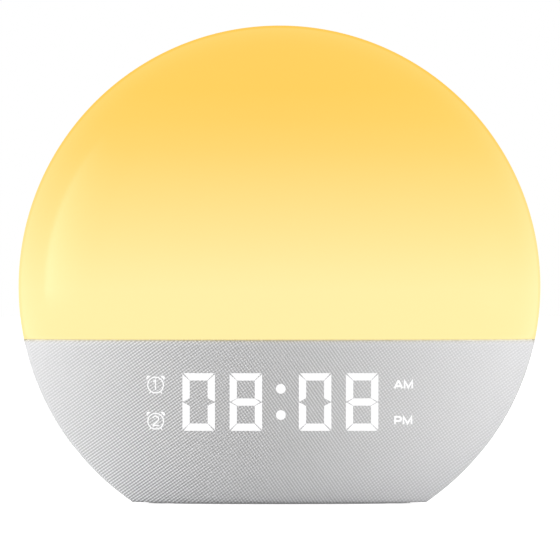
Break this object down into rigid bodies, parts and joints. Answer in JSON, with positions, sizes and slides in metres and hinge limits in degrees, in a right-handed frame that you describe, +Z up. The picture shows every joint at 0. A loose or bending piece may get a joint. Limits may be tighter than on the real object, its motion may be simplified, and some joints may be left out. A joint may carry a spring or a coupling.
{
  "type": "sunrise alarm clock",
  "caption": "Round bedside sunrise alarm clock: opal light dome over a grey cloth front with a glowing digital display, keys, speaker and power inlet behind.",
  "frame": {"origin": "middle of the foot's underside, on the table", "axes": "+Z up, the display faces -Y, +X to the right seen from the front"},
  "size_m": [0.18, 0.104, 0.1646],
  "materials": {
    "opal_dome": "satin opal, lit warm from inside",
    "cloth": "fine woven light grey",
    "white_shell": "fine matte",
    "white_inner": "smooth",
    "key_plastic": "soft matte",
    "dark_block": "matte",
    "clear_pipe": "milky",
    "smoked_pane": "clear, lightly smoked",
    "board": "coated",
    "chip": "moulded",
    "led": "clear over phosphor",
    "screw_steel": "zinc plated",
    "pad_rubber": "matte",
    "cell_steel": "bright",
    "contact": "bright",
    "can": "bright",
    "cone_paper": "matte",
    "lead_sheath": "smooth"
  },
  "bodies": {
    "clock": {"light_dome": "opal_dome", "fabric_cover": "cloth", "base_shell": "white_shell", "reflector_frame": "white_inner", "lamp_board": "white_inner", "lamp_leds": "led", "lamp_board_screws": "screw_steel", "segment_pipes": "clear_pipe", "display_block": "dark_block", "display_window": "smoked_pane", "display_board": "board", "display_leds": "led", "display_screws": "screw_steel", "rear_housing": "white_shell", "housing_screws": "screw_steel", "key_board": "board", "key_switches": "chip", "key_board_screws": "screw_steel", "speaker_gasket": "pad_rubber", "speaker_frame": "can", "speaker_magnet": "cell_steel", "speaker_cone": "cone_paper", "speaker_screws": "screw_steel", "inlet_shell": "cell_steel", "inlet_tongue": "chip", "inlet_board": "board", "inlet_board_screws": "screw_steel", "base_pad": "pad_rubber", "base_plate": "white_shell", "base_screws": "screw_steel", "coin_cell": "cell_steel", "cell_holder": "chip", "cell_contact": "contact", "main_board": "board", "main_board_screws": "screw_steel", "main_chips": "chip", "capacitors": "can", "clock_crystal": "can", "lamp_lead": "lead_sheath", "display_lead": "lead_sheath", "key_lead": "lead_sheath", "speaker_lead": "lead_sheath", "power_lead": "lead_sheath", "lead_plugs": "white_inner"},
    "key_alarm_one_body": {"key_alarm_one": "key_plastic"},
    "key_alarm_two_body": {"key_alarm_two": "key_plastic"},
    "key_time_set_body": {"key_time_set": "key_plastic"},
    "key_light_body": {"key_light": "key_plastic"},
    "key_minus_body": {"key_minus": "key_plastic"},
    "key_plus_body": {"key_plus": "key_plastic"},
    "key_quieter_body": {"key_quieter": "key_plastic"},
    "key_louder_body": {"key_louder": "key_plastic"},
    "key_snooze_body": {"key_snooze": "key_plastic"},
    "door_body": {"battery_door": "white_shell"}
  },
  "joints": [
    {"name": "key_alarm_one_press", "type": "slide", "parent": "clock", "child": "key_alarm_one_body", "axis": [0, -1, 0], "range_m": [0, 0.0006], "stiffness_N_per_m": 400},
    {"name": "key_alarm_two_press", "type": "slide", "parent": "clock", "child": "key_alarm_two_body", "axis": [0, -1, 0], "range_m": [0, 0.0006], "stiffness_N_per_m": 400},
    {"name": "key_time_set_press", "type": "slide", "parent": "clock", "child": "key_time_set_body", "axis": [0, -1, 0], "range_m": [0, 0.0006], "stiffness_N_per_m": 400},
    {"name": "key_light_press", "type": "slide", "parent": "clock", "child": "key_light_body", "axis": [0, -1, 0], "range_m": [0, 0.0006], "stiffness_N_per_m": 400},
    {"name": "key_minus_press", "type": "slide", "parent": "clock", "child": "key_minus_body", "axis": [0, -1, 0], "range_m": [0, 0.0006], "stiffness_N_per_m": 400},
    {"name": "key_plus_press", "type": "slide", "parent": "clock", "child": "key_plus_body", "axis": [0, -1, 0], "range_m": [0, 0.0006], "stiffness_N_per_m": 400},
    {"name": "key_quieter_press", "type": "slide", "parent": "clock", "child": "key_quieter_body", "axis": [0, -1, 0], "range_m": [0, 0.0006], "stiffness_N_per_m": 400},
    {"name": "key_louder_press", "type": "slide", "parent": "clock", "child": "key_louder_body", "axis": [0, -1, 0], "range_m": [0, 0.0006], "stiffness_N_per_m": 400},
    {"name": "key_snooze_press", "type": "slide", "parent": "clock", "child": "key_snooze_body", "axis": [0, -1, 0], "range_m": [0, 0.0006], "stiffness_N_per_m": 400},
    {"name": "battery_door_turn", "type": "hinge", "parent": "clock", "child": "door_body", "pos_m": [0, 0.017, 0.003], "axis": [0, 0, -1], "range_deg": [0, 45]}
  ]
}
